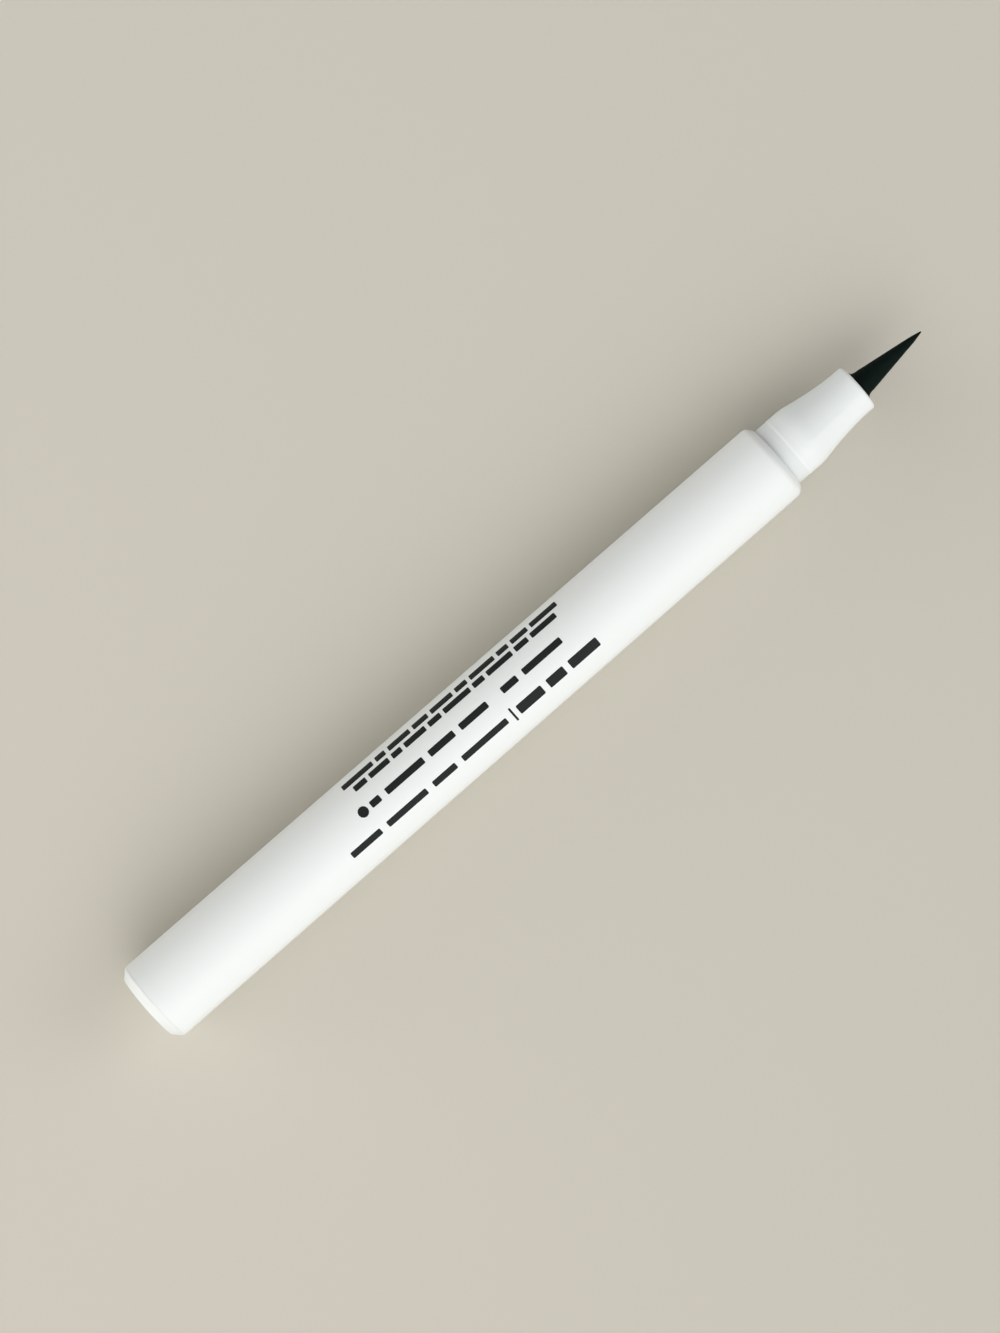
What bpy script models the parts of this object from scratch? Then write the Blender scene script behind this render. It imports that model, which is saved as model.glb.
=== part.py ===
# A liquid eyeliner pen, uncapped and lying on its side, as the pieces that it comes apart into.
#
# The pen lies along X, nib at +X, and rests on z = 0 with the middle of its length at x = 0.
# Almost every piece is turned about the pen's axis. Its outline is a list of (x, radius) points,
# where x counts forwards from the shoulder that the cap stops against, and a third number in a
# point is the fillet of that corner. Lengths are in metres.

import math

import bmesh
import bpy
from mathutils import Vector

mm = 0.001

# Driving dimensions, from the tail to the point of the nib
tail_flange = 1.17 * mm       # what shows of the tail plug
seam = 0.03 * mm              # the fine line between the tail plug and the barrel
barrel_length = 94.2 * mm
front_length = 12.4 * mm      # what shows of the front section
nib_length = 9.6 * mm         # what shows of the nib
barrel_radius = 4.92 * mm     # at the shoulder
barrel_draft = 0.23 * mm      # how much wider the barrel is at its tail
nib_body_radius = 1.84 * mm   # where the nib comes out of the mouth

# Clearances
fit = 0.1 * mm                # round one piece pushed into another
seat_gap = 0.1 * mm           # between faces that stop each other
ball_gap = 0.1 * mm           # round the ball where it lies

# Barrel
barrel_wall = 0.9 * mm        # at the shoulder; the bore is straight
shoulder_fall_length = 0.62 * mm
shoulder_fall_depth = 0.76 * mm
shoulder_softness = 0.95 * mm

# The bead on each shank snaps into a groove in the bore
bead_height = 0.15 * mm
bead_width = 0.5 * mm
bead_slope = 0.25 * mm
groove_clearance = 0.15 * mm
front_bead_place = 4.0 * mm   # behind the shoulder
tail_bead_place = 3.0 * mm    # ahead of the flange

# Tail plug
tail_chamfer = 0.95 * mm
tail_softness = 0.5 * mm
tail_floor = 0.5 * mm         # from the flange to the bottom of the cup
tail_shank_length = 6.0 * mm
tail_shank_wall = 1.0 * mm

# Front section
front_shank_length = 8.0 * mm
spigot_length = 5.0 * mm      # what goes into the ink tank
ring_place = 1.8 * mm         # the cap's click ring, ahead of the shoulder
ring_step = 0.05 * mm
ring_slope = 0.08 * mm
land_length = 4.0 * mm        # from the shoulder to the start of the neck
land_softness = 4.0 * mm
mouth_length = 1.4 * mm       # of the straight end past the neck
mouth_radius = 2.99 * mm
mouth_fillet = 0.5 * mm
lip_length = 2.6 * mm
lip_width = 0.36 * mm         # how far the lip stands in from the bore, to hold the nib's collar

# Nib
nib_neck_radius = 1.44 * mm
nib_neck_place = 1.15 * mm    # ahead of the mouth
nib_flare_place = 0.2 * mm    # ahead of the mouth
nib_tip_radius = 0.36 * mm    # where the cone starts to round off to its point
nib_tip_length = 1.3 * mm
nib_point_radius = 0.1 * mm
nib_point_length = 0.12 * mm
nib_collar_length = 1.2 * mm
nib_shank_radius = 1.5 * mm
nib_shank_length = 5.0 * mm
feed_socket_depth = 2.5 * mm

# Nib holder
holder_vent_width = 0.6 * mm
holder_vent_depth = 0.3 * mm

# Feed rod
feed_radius = 0.8 * mm
feed_chamfer = 0.15 * mm
feed_recess = 0.3 * mm        # of its rear end, in the partition

# Collector
collector_length = 22.0 * mm
core_wall = 0.7 * mm
fin_clearance = 0.15 * mm
fin_thickness = 0.6 * mm
fin_pitch = 1.5 * mm
nose_length = 8.0 * mm
air_slot_width = 0.7 * mm
air_slot_floor = 0.25 * mm    # what the slot leaves of each fin over the core

# Ink tank, its gasket and its partition
tank_clearance = 0.12 * mm
tank_wall = 0.55 * mm         # round the collector
chamber_wall = 0.75 * mm      # round the ink
tank_floor = 0.9 * mm
tank_fillet = 0.5 * mm
gasket_thickness = 0.5 * mm
gasket_inset = 0.05 * mm      # from the tank's outer wall
partition_length = 2.5 * mm
ball_radius = 1.5 * mm

# How finely round things are cut
sides = 24
fillet_steps = 3
neck_steps = 9
flare_steps = 4
vent_count = 3
ball_rings = 12
smooth_below = math.radians(32)
weld = 0.0005 * mm
overrun = 0.5 * mm            # of a cutter past what it cuts

# Radii, each following the one that it fits
bore_radius = barrel_radius - barrel_wall
shank_radius = bore_radius - fit
tank_radius = bore_radius - tank_clearance
tank_bore_radius = tank_radius - tank_wall
chamber_radius = tank_radius - chamber_wall
spigot_radius = tank_bore_radius - fit
mouth_hole_radius = nib_body_radius + fit
front_bore_radius = mouth_hole_radius + lip_width
inner_radius = front_bore_radius - fit      # of what slides into the front section's bore
feed_hole_radius = feed_radius + fit

# Places along the axis, counted from the shoulder
barrel_rear = -barrel_length
flange_front = barrel_rear - seam
tail_face = flange_front - tail_flange
mouth = front_length
nib_point = mouth + nib_length
neck_end = mouth - mouth_length
lip = mouth - lip_length
front_step = -front_shank_length
tail_shank_front = flange_front + tail_shank_length
gasket_front = front_step - seat_gap
tank_front = gasket_front - gasket_thickness - seat_gap
tank_rear = tail_shank_front + seat_gap
collector_front = front_step - spigot_length - seat_gap
collector_rear = collector_front - collector_length
nose_front = collector_front + nose_length
partition_front = collector_rear - seat_gap
partition_rear = partition_front - partition_length
chamber_front = partition_rear - seat_gap
chamber_rear = tank_rear + tank_floor
nib_collar_front = lip - seat_gap
nib_collar_rear = nib_collar_front - nib_collar_length
nib_shank_rear = nib_collar_rear - nib_shank_length
holder_front = nib_collar_rear - seat_gap
holder_rear = nose_front + seat_gap
feed_front = nib_shank_rear + feed_socket_depth - seat_gap
feed_rear = partition_rear + feed_recess

# The axis is as high as the widest facet, and the shoulder is where the whole length centres
axis_height = barrel_radius + barrel_draft
shoulder = -(tail_face + nib_point) / 2


def clear_scene():
    for thing in list(bpy.data.objects):
        bpy.data.objects.remove(thing, do_unlink=True)


def finish(name, colour, roughness, metallic=0.0):
    material = bpy.data.materials.new(name)
    material.use_nodes = True
    shader = material.node_tree.nodes["Principled BSDF"]
    shader.inputs["Base Color"].default_value = (*colour, 1.0)
    shader.inputs["Roughness"].default_value = roughness
    shader.inputs["Metallic"].default_value = metallic
    return material


def with_fillets(outline):
    """The outline with each corner that names a fillet turned into an arc, kept inside its edges."""
    points = []
    for index, point in enumerate(outline):
        corner = Vector(point[:2])
        if len(point) == 2:
            points.append(corner)
            continue
        before = Vector(outline[index - 1][:2]) - corner
        after = Vector(outline[(index + 1) % len(outline)][:2]) - corner
        half = before.angle(after) / 2
        reach = min(point[2] / math.tan(half), before.length / 2, after.length / 2)
        radius = reach * math.tan(half)
        inward = (before.normalized() + after.normalized()).normalized()
        centre = corner + inward * radius / math.sin(half)
        start = corner + before.normalized() * reach - centre
        end = corner + after.normalized() * reach - centre
        turn = math.pi - 2 * half
        for step in range(fillet_steps + 1):
            done = turn * step / fillet_steps
            arc = start * math.sin(turn - done) + end * math.sin(done)
            points.append(centre + arc / math.sin(turn))
    return points


def place(mesh, name, material, carrier):
    piece = bpy.data.objects.new(name, mesh)
    mesh.materials.append(material)
    mesh.shade_smooth()
    mesh.set_sharp_from_angle(angle=smooth_below)
    bpy.context.scene.collection.objects.link(piece)
    piece.parent = carrier
    return piece


def turned(name, outline, material, carrier):
    """A piece turned about the pen's axis. The facets touch each radius and one of them faces down."""
    half_step = math.pi / sides
    mesh = bpy.data.meshes.new(name)
    shape = bmesh.new()
    ring = []
    for x, radius in with_fillets(outline):
        corner_radius = radius / math.cos(half_step)
        across = corner_radius * math.sin(half_step)
        ring.append(shape.verts.new((x, across, -corner_radius * math.cos(half_step))))
    edges = [shape.edges.new(pair) for pair in zip(ring, ring[1:])]
    if outline[0][1] > 0:
        edges.append(shape.edges.new((ring[-1], ring[0])))
    bmesh.ops.spin(
        shape,
        geom=ring + edges,
        cent=(0, 0, 0),
        axis=(1, 0, 0),
        angle=math.tau,
        steps=sides,
        use_merge=True,
    )
    bmesh.ops.remove_doubles(shape, verts=shape.verts, dist=weld)
    bmesh.ops.recalc_face_normals(shape, faces=shape.faces)
    shape.to_mesh(mesh)
    shape.free()
    return place(mesh, name, material, carrier)


def cut_by_boxes(piece, name, boxes, carrier):
    """Cuts boxes out of a piece. Each is its rear, front, inner and outer edge, width and turn."""
    mesh = bpy.data.meshes.new(name)
    shape = bmesh.new()
    for rear, front, inner, outer, width, turn in boxes:
        corners = bmesh.ops.create_cube(shape, size=1)["verts"]
        for corner in corners:
            x = rear if corner.co.x < 0 else front
            across = corner.co.y * width
            out = inner if corner.co.z < 0 else outer
            corner.co = (
                x,
                across * math.cos(turn) - out * math.sin(turn),
                across * math.sin(turn) + out * math.cos(turn),
            )
    bmesh.ops.recalc_face_normals(shape, faces=shape.faces)
    shape.to_mesh(mesh)
    shape.free()
    cutter = bpy.data.objects.new(name, mesh)
    bpy.context.scene.collection.objects.link(cutter)
    cutter.parent = carrier
    cutter.hide_render = True
    cutter.display_type = "WIRE"
    cut = piece.modifiers.new(name, "BOOLEAN")
    cut.operation = "DIFFERENCE"
    cut.object = cutter


def bead(centre, radius):
    """The snap bead on a shank, from rear to front."""
    foot = bead_width / 2 + bead_slope
    return [
        (centre - foot, radius),
        (centre - bead_width / 2, radius + bead_height),
        (centre + bead_width / 2, radius + bead_height),
        (centre + foot, radius),
    ]


def groove(centre):
    """The groove that a bead snaps into, from rear to front."""
    foot = bead_width / 2 + bead_slope + groove_clearance
    bottom = bore_radius + bead_height
    return [
        (centre - foot, bore_radius),
        (centre - foot + bead_slope, bottom),
        (centre + foot - bead_slope, bottom),
        (centre + foot, bore_radius),
    ]


def barrel(carrier):
    rear_radius = barrel_radius + barrel_draft
    rim_radius = barrel_radius - shoulder_fall_depth
    outline = [
        (barrel_rear, bore_radius),
        *groove(flange_front + tail_bead_place),
        *groove(-front_bead_place),
        (0, bore_radius),
        (0, rim_radius),
        (-shoulder_fall_length, barrel_radius, shoulder_softness),
        (barrel_rear, rear_radius),
    ]
    turned("barrel", outline, finish("barrel_white", (0.86, 0.855, 0.84), 0.34), carrier)


def tail_plug(carrier):
    radius = barrel_radius + barrel_draft
    cup_radius = shank_radius - tail_shank_wall
    cup_bottom = flange_front + tail_floor
    outline = [
        (tail_face, 0),
        (tail_face, radius - tail_chamfer),
        (tail_face + tail_chamfer, radius, tail_softness),
        (flange_front, radius),
        (flange_front, shank_radius),
        *bead(flange_front + tail_bead_place, shank_radius),
        (tail_shank_front, shank_radius),
        (tail_shank_front, cup_radius),
        (cup_bottom, cup_radius),
        (cup_bottom, 0),
    ]
    turned("tail_plug", outline, finish("plug_white", (0.87, 0.865, 0.85), 0.3), carrier)


def neck():
    """The front section's neck: its radius falls as the power 1.5 of the distance to its end."""
    fall_power = 1.5
    points = []
    for step in range(1, neck_steps + 1):
        left = 1 - step / neck_steps
        radius = mouth_radius + (shank_radius - mouth_radius) * left**fall_power
        points.append((neck_end - (neck_end - land_length) * left, radius))
    return points


def front_section(carrier):
    neck_groove = shank_radius - ring_step
    outline = [
        (front_step, spigot_radius),
        (front_step, shank_radius),
        *bead(-front_bead_place, shank_radius),
        (0, shank_radius),
        (0, neck_groove),
        (ring_place, neck_groove),
        (ring_place + ring_slope, shank_radius),
        (land_length, shank_radius, land_softness),
        *neck(),
        (mouth, mouth_radius, mouth_fillet),
        (mouth, mouth_hole_radius),
        (lip, mouth_hole_radius),
        (lip, front_bore_radius),
        (front_step - spigot_length, front_bore_radius),
        (front_step - spigot_length, spigot_radius),
    ]
    turned("front_section", outline, finish("front_white", (0.84, 0.86, 0.87), 0.3), carrier)


def flare():
    """The nib's root: a quarter ellipse that sweeps in from the mouth to the foot of the cone."""
    points = []
    for step in range(flare_steps + 1):
        turn = math.pi / 2 * step / flare_steps
        x = nib_neck_place - (nib_neck_place - nib_flare_place) * math.cos(turn)
        radius = nib_body_radius - (nib_body_radius - nib_neck_radius) * math.sin(turn)
        points.append((mouth + x, radius))
    return points


def nib(carrier):
    socket_bottom = nib_shank_rear + feed_socket_depth
    outline = [
        (socket_bottom, 0),
        (socket_bottom, feed_hole_radius),
        (nib_shank_rear, feed_hole_radius),
        (nib_shank_rear, nib_shank_radius),
        (nib_collar_rear, nib_shank_radius),
        (nib_collar_rear, inner_radius),
        (nib_collar_front, inner_radius),
        (nib_collar_front, nib_body_radius),
        *flare(),
        (nib_point - nib_tip_length, nib_tip_radius),
        (nib_point - nib_point_length, nib_point_radius),
        (nib_point, 0),
    ]
    turned("nib", outline, finish("nib_fibre", (0.012, 0.013, 0.012), 0.55), carrier)


def nib_holder(carrier):
    shank_hole = nib_shank_radius + fit
    shank_stop = nib_shank_rear - seat_gap
    outline = [
        (holder_rear, feed_hole_radius),
        (holder_rear, inner_radius),
        (holder_front, inner_radius),
        (holder_front, shank_hole),
        (shank_stop, shank_hole),
        (shank_stop, feed_hole_radius),
    ]
    piece = turned("nib_holder", outline, finish("holder_white", (0.8, 0.8, 0.78), 0.4), carrier)
    vents = []
    for number in range(vent_count):
        vents.append((
            holder_rear - overrun,
            holder_front + overrun,
            inner_radius - holder_vent_depth,
            inner_radius + overrun,
            holder_vent_width,
            math.tau * number / vent_count,
        ))
    cut_by_boxes(piece, "holder_vents", vents, carrier)


def feed_rod(carrier):
    outline = [
        (feed_rear, 0),
        (feed_rear, feed_radius - feed_chamfer),
        (feed_rear + feed_chamfer, feed_radius),
        (feed_front - feed_chamfer, feed_radius),
        (feed_front, feed_radius - feed_chamfer),
        (feed_front, 0),
    ]
    turned("feed_rod", outline, finish("feed_fibre", (0.03, 0.028, 0.026), 0.8), carrier)


def collector(carrier):
    core_radius = feed_hole_radius + core_wall
    fin_radius = tank_bore_radius - fin_clearance
    outline = [(collector_rear, feed_hole_radius)]
    for number in range(int((collector_length - fin_thickness) / fin_pitch)):
        fin = collector_rear + number * fin_pitch
        outline += [
            (fin, fin_radius),
            (fin + fin_thickness, fin_radius),
            (fin + fin_thickness, core_radius),
            (fin + fin_pitch, core_radius),
        ]
    outline += [
        (collector_front - fin_thickness, core_radius),
        (collector_front - fin_thickness, fin_radius),
        (collector_front, fin_radius),
        (collector_front, inner_radius),
        (nose_front, inner_radius),
        (nose_front, feed_hole_radius),
    ]
    piece = turned("collector", outline, finish("collector_white", (0.78, 0.8, 0.8), 0.35), carrier)
    slot = (
        collector_rear - overrun,
        collector_front + overrun,
        core_radius + air_slot_floor,
        fin_radius + overrun,
        air_slot_width,
        0,
    )
    cut_by_boxes(piece, "air_slot", [slot], carrier)


def tank_gasket(carrier):
    rear = gasket_front - gasket_thickness
    outline = [
        (rear, tank_bore_radius),
        (rear, tank_radius - gasket_inset),
        (gasket_front, tank_radius - gasket_inset),
        (gasket_front, tank_bore_radius),
    ]
    turned("tank_gasket", outline, finish("gasket_rubber", (0.05, 0.05, 0.05), 0.7), carrier)


def tank_partition(carrier):
    outline = [
        (partition_rear, feed_hole_radius),
        (partition_rear, spigot_radius),
        (partition_front, spigot_radius),
        (partition_front, feed_hole_radius),
    ]
    turned("tank_partition", outline, finish("partition_white", (0.8, 0.8, 0.78), 0.4), carrier)


def ink_tank(carrier):
    outline = [
        (tank_rear, 0),
        (tank_rear, tank_radius, tank_fillet),
        (tank_front, tank_radius),
        (tank_front, tank_bore_radius),
        (chamber_front, tank_bore_radius),
        (chamber_front, chamber_radius),
        (chamber_rear, chamber_radius, tank_fillet),
        (chamber_rear, 0),
    ]
    turned("ink_tank", outline, finish("tank_natural", (0.78, 0.79, 0.76), 0.25), carrier)


def mixing_ball(carrier):
    """The steel ball, at the front of the ink chamber, lying on its wall."""
    mesh = bpy.data.meshes.new("mixing_ball")
    shape = bmesh.new()
    bmesh.ops.create_uvsphere(shape, u_segments=sides, v_segments=ball_rings, radius=ball_radius)
    shape.to_mesh(mesh)
    shape.free()
    piece = place(mesh, "mixing_ball", finish("ball_steel", (0.6, 0.6, 0.6), 0.15, 1.0), carrier)
    rest_height = ball_radius + ball_gap - chamber_radius
    piece.location = (chamber_front - ball_gap - ball_radius, 0, rest_height)
    travel = chamber_front - chamber_rear - 2 * (ball_radius + ball_gap)
    print(f"the ball can travel {travel / mm:.2f} mm backwards")


def main():
    clear_scene()
    pen_axis = bpy.data.objects.new("pen_axis", None)
    pen_axis.location = (shoulder, 0, axis_height)
    bpy.context.scene.collection.objects.link(pen_axis)
    for make in (
        tail_plug,
        barrel,
        ink_tank,
        mixing_ball,
        tank_partition,
        feed_rod,
        collector,
        tank_gasket,
        front_section,
        nib_holder,
        nib,
    ):
        make(pen_axis)


main()
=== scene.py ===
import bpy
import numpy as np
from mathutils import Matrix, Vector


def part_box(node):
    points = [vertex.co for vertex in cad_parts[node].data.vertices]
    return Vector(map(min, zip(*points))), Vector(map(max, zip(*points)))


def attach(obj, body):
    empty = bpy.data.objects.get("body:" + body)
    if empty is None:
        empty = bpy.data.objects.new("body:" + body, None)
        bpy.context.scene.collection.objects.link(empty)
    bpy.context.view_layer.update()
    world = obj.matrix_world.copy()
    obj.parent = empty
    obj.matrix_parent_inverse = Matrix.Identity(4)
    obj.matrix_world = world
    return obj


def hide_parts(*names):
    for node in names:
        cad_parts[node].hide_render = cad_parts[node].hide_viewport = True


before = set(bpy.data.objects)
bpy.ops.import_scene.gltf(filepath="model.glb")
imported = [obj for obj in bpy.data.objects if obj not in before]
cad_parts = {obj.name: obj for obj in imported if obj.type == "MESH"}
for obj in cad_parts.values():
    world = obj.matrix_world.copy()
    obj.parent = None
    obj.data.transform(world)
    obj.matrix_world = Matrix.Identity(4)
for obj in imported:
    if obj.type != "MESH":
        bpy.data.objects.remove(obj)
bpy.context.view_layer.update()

# The looks of an uncapped liquid eyeliner pen that lies on its side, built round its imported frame.
# The dictionaries are in millimetres and degrees. Along the pen, x counts forwards from the shoulder
# that the cap stops against, and across it, an angle counts from the top towards the pen's right side.

mm = 0.001
smoothUpTo = 32          # degrees: faces that meet at less are shaded as one surface
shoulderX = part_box("barrel")[1].x / mm
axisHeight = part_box("barrel")[1].z / 2 / mm
print(f"frame loaded: shoulder at x {shoulderX:.2f} mm, axis {axisHeight:.2f} mm up")


# An output socket that can stand in a Python expression: each operator adds one Math node.
class Wire:
    def __init__(self, nodes, socket):
        self.nodes = nodes
        self.socket = socket

    def math(self, operation, first, second):
        return self.nodes.add("ShaderNodeMath", {"operation": operation}, {0: first, 1: second})

    def __add__(self, other):
        return self.math("ADD", self, other)

    def __radd__(self, other):
        return self.math("ADD", other, self)

    def __sub__(self, other):
        return self.math("SUBTRACT", self, other)

    def __rsub__(self, other):
        return self.math("SUBTRACT", other, self)

    def __mul__(self, other):
        return self.math("MULTIPLY", self, other)

    def __rmul__(self, other):
        return self.math("MULTIPLY", other, self)

    def __truediv__(self, other):
        return self.math("DIVIDE", self, other)

    def __rtruediv__(self, other):
        return self.math("DIVIDE", other, self)

    def __pow__(self, other):
        return self.math("POWER", self, other)


class NodeTree:
    def __init__(self, tree):
        self.tree = tree

    # Adds any node: its settings first, then each socket's value or link.
    def add(self, kind, settings=None, sockets=None, output=0):
        made = self.tree.nodes.new(kind)
        for key, value in (settings or {}).items():
            setattr(made, key, value)
        for key, value in (sockets or {}).items():
            self.put(made.inputs[key], value)
        return Wire(self, made.outputs[output])

    def put(self, socket, value):
        if isinstance(value, Wire):
            self.tree.links.new(value.socket, socket)
        else:
            socket.default_value = value


# A material with one Principled shader. Its sockets that are the same all over are given by name.
class Finish(NodeTree):
    def __init__(self, name, fixed):
        self.material = bpy.data.materials.new(name)
        self.material.use_nodes = True
        super().__init__(self.material.node_tree)
        self.shader = self.tree.nodes["Principled BSDF"]
        for socketName, value in fixed.items():
            self.feed(socketName, value)
        self.place = self.add("ShaderNodeTexCoord", output="Object")

    def feed(self, socketName, value):
        self.put(self.shader.inputs[socketName], value)

    # Cloudy noise, from 0 to 1 about 0.5: its grain in millimetres along the pen and across it
    def noise(self, along, across=None, detail=2.0, rough=0.5, shift=0.0):
        across = across or along
        size = (1 / (along * mm), 1 / (across * mm), 1 / (across * mm))
        stretched = self.add(
            "ShaderNodeMapping", {"vector_type": "POINT"},
            {"Vector": self.place, "Location": (shift, shift, shift), "Scale": size},
        )
        return self.add(
            "ShaderNodeTexNoise", {"noise_dimensions": "3D"},
            {"Vector": stretched, "Scale": 1.0, "Detail": detail, "Roughness": rough},
        )

    # A Mix node takes its two colours at sockets 6 and 7, and gives their mix at output 2.
    def mixed(self, factor, *colours):
        first, second = [(*colour, 1.0) if isinstance(colour, tuple) else colour for colour in colours]
        sockets = {0: factor, 6: first, 7: second}
        return self.add("ShaderNodeMix", {"data_type": "RGBA"}, sockets, output=2)

    def clamped(self, value):
        return self.add("ShaderNodeClamp", {}, {"Value": value, "Min": 0.0, "Max": 1.0})

    # The look's roughness, raised and lowered by a pattern that runs from 0 to 1 about 0.5
    def uneven(self, look, pattern):
        return look["roughness"] + (pattern - 0.5) * look["roughnessChange"]

    # Takes a height in millimetres and tilts the shading by it
    def relief(self, height):
        bump = self.add("ShaderNodeBump", {}, {"Strength": 1.0, "Distance": mm, "Height": height})
        self.feed("Normal", bump)


# Rounds the corners of an outline of (x, radius, fillet) rows. Each fillet is the arc that touches both
# edges: its centre is on the corner's bisector, fillet / sin(half the corner's angle) away, and its
# points swing evenly from one touching point to the other. A fillet reaches fillet / tan(half the angle)
# along each edge, but no further than its neighbour's fillet, or than the middle where both are large,
# and it takes at most the share "most" of that room.
def rounded(corners, steps=8, most=0.96, tiny=1e-6):
    corner = np.array(corners, float)
    point, fillet = corner[:, :2], corner[:, 2]
    back = np.roll(point, 1, axis=0) - point
    ahead = np.roll(point, -1, axis=0) - point
    backLength = np.linalg.norm(back, axis=1)
    aheadLength = np.linalg.norm(ahead, axis=1)
    back = back / backLength[:, None]
    ahead = ahead / aheadLength[:, None]
    half = np.arccos(np.clip((back * ahead).sum(axis=1), -1, 1)) / 2
    wanted = fillet / np.tan(half)
    backRoom = np.maximum(backLength - np.roll(wanted, 1), backLength / 2)
    aheadRoom = np.maximum(aheadLength - np.roll(wanted, -1), aheadLength / 2)
    reach = np.minimum(wanted, most * np.minimum(backRoom, aheadRoom))
    radius = reach * np.tan(half)
    bisector = back + ahead
    bisector = bisector / np.maximum(np.linalg.norm(bisector, axis=1), tiny)[:, None]
    centre = point + bisector * (radius / np.sin(half))[:, None]
    start = point + back * reach[:, None] - centre
    end = point + ahead * reach[:, None] - centre
    turn = np.pi - 2 * half
    share = np.linspace(0, 1, steps + 1)
    swing = turn[:, None] * share
    whole = np.where(np.sin(turn) < tiny, 1, np.sin(turn))[:, None]
    weightStart = np.sin(turn[:, None] - swing) / whole
    weightEnd = np.sin(swing) / whole
    arc = centre[:, None] + start[:, None] * weightStart[..., None]
    arc = arc + end[:, None] * weightEnd[..., None]
    sharp = fillet == 0
    arc[sharp] = point[sharp][:, None]
    return arc[~sharp[:, None] | (share == 0)]


# Gives each long edge of an outline spare points that crowd towards its ends, at
# t = 10 s^3 - 15 s^4 + 6 s^5 for even s, so that smooth shading leaves the edge straight. An edge on the
# pen's axis gets none, and where endFaces is False, a flat end's edges get none either.
def withSpareRings(outline, count=10, longest=0.3, endFaces=True):
    ahead = np.roll(outline, -1, axis=0)
    even = np.arange(count) / count
    place = even**3 * (10 - 15 * even + 6 * even**2)
    points = outline[:, None] + (ahead - outline)[:, None] * place[None, :, None]
    isLong = np.linalg.norm(ahead - outline, axis=1) > longest
    isLong &= (outline[:, 1] > 0) | (ahead[:, 1] > 0)
    isLong &= endFaces | (np.abs(ahead[:, 0] - outline[:, 0]) > longest)
    return points[isLong[:, None] | (even == 0)]


# The outline with its points in the order that makes the faces of a turned shape look outwards
def facingOut(outline):
    area = np.cross(outline, np.roll(outline, -1, axis=0)).sum()
    return outline if area > 0 else outline[::-1]


# Carries an outline once round the pen's axis: (x, r sin a, r cos a) on a grid of outline points and
# angles. An outline that starts on the axis ends there too, and each of those ends is one point.
def turned(outline, segments):
    outline = facingOut(outline)
    solid = (outline[:, 1] <= 0).any()
    if solid:
        onAxis = np.flatnonzero(outline[:, 1] <= 0)
        follows = onAxis[np.isin((onAxis + 1) % len(outline), onAxis)][0]
        outline = np.roll(outline, -(follows + 1), axis=0)
    x, r = outline.T
    angle = np.arange(segments) * 2 * np.pi / segments
    y, z = r[:, None] * np.sin(angle), r[:, None] * np.cos(angle)
    grid = np.stack(np.broadcast_arrays(x[:, None], y, z), -1)
    if not solid:
        index = np.arange(len(x) * segments).reshape(len(x), segments)
        rows = np.vstack([index, index[:1]])
        return grid.reshape(-1, 3), strips(rows)
    inner = np.arange((len(x) - 2) * segments).reshape(-1, segments)
    last = inner.size
    first, final = inner[0], inner[-1]
    fans = [
        np.stack([np.full(segments, last), np.roll(first, -1), first], -1),
        np.stack([np.full(segments, last + 1), final, np.roll(final, -1)], -1),
    ]
    vertices = np.vstack([grid[1:-1].reshape(-1, 3), grid[0, :1], grid[-1, :1]])
    return vertices, strips(inner) + np.vstack(fans).tolist()


# The four-sided faces between neighbouring rows of a grid of vertex numbers that closes on itself
def strips(rows):
    low, high = rows[:-1], rows[1:]
    quads = np.stack([low, np.roll(low, -1, axis=1), np.roll(high, -1, axis=1), high], -1)
    return quads.reshape(-1, 4).tolist()


# Makes one point of those that lie in the same place, and drops the faces that shrink to an edge.
def welded(vertices, faces):
    _, first, number = np.unique(np.round(vertices, 5), axis=0, return_index=True, return_inverse=True)
    corners = [list(dict.fromkeys(face)) for face in number.reshape(-1)[faces].tolist()]
    return vertices[first], [face for face in corners if len(face) > 2]


# Outlines count from the middle of the shoulder's plane, so a piece's points are moved there. A piece
# that stands for a CAD node replaces it: the node is hidden.
def addPiece(name, shape, finish, node=None, body="pen"):
    vertices, faces = shape
    mesh = bpy.data.meshes.new(name)
    mesh.from_pydata((vertices + (shoulderX, 0, axisHeight)) * mm, [], faces)
    mesh.materials.append(finish.material)
    mesh.shade_smooth()
    mesh.set_sharp_from_angle(angle=np.radians(smoothUpTo))
    mesh.update()
    piece = bpy.data.objects.new(name, mesh)
    bpy.context.scene.collection.objects.link(piece)
    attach(piece, body)
    if node:
        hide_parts(node)
    print(f"{name}: {len(vertices)} points, {len(faces)} faces")


# Rounds an outline's corners, gives its long edges spare rings, and carries it round the pen's axis.
def addTurned(name, corners, finish, node, segments=192, steps=8, spare=10):
    outline = withSpareRings(rounded(corners, steps), spare)
    addPiece(name, turned(outline, segments), finish, node)


# The four corners of a plain ring, all with the same small radius
def ringCorners(shape, inner):
    edge = shape["edge"]
    return [
        (shape["rear"], inner, edge), (shape["rear"], shape["radius"], edge),
        (shape["front"], shape["radius"], edge), (shape["front"], inner, edge),
    ]


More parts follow.
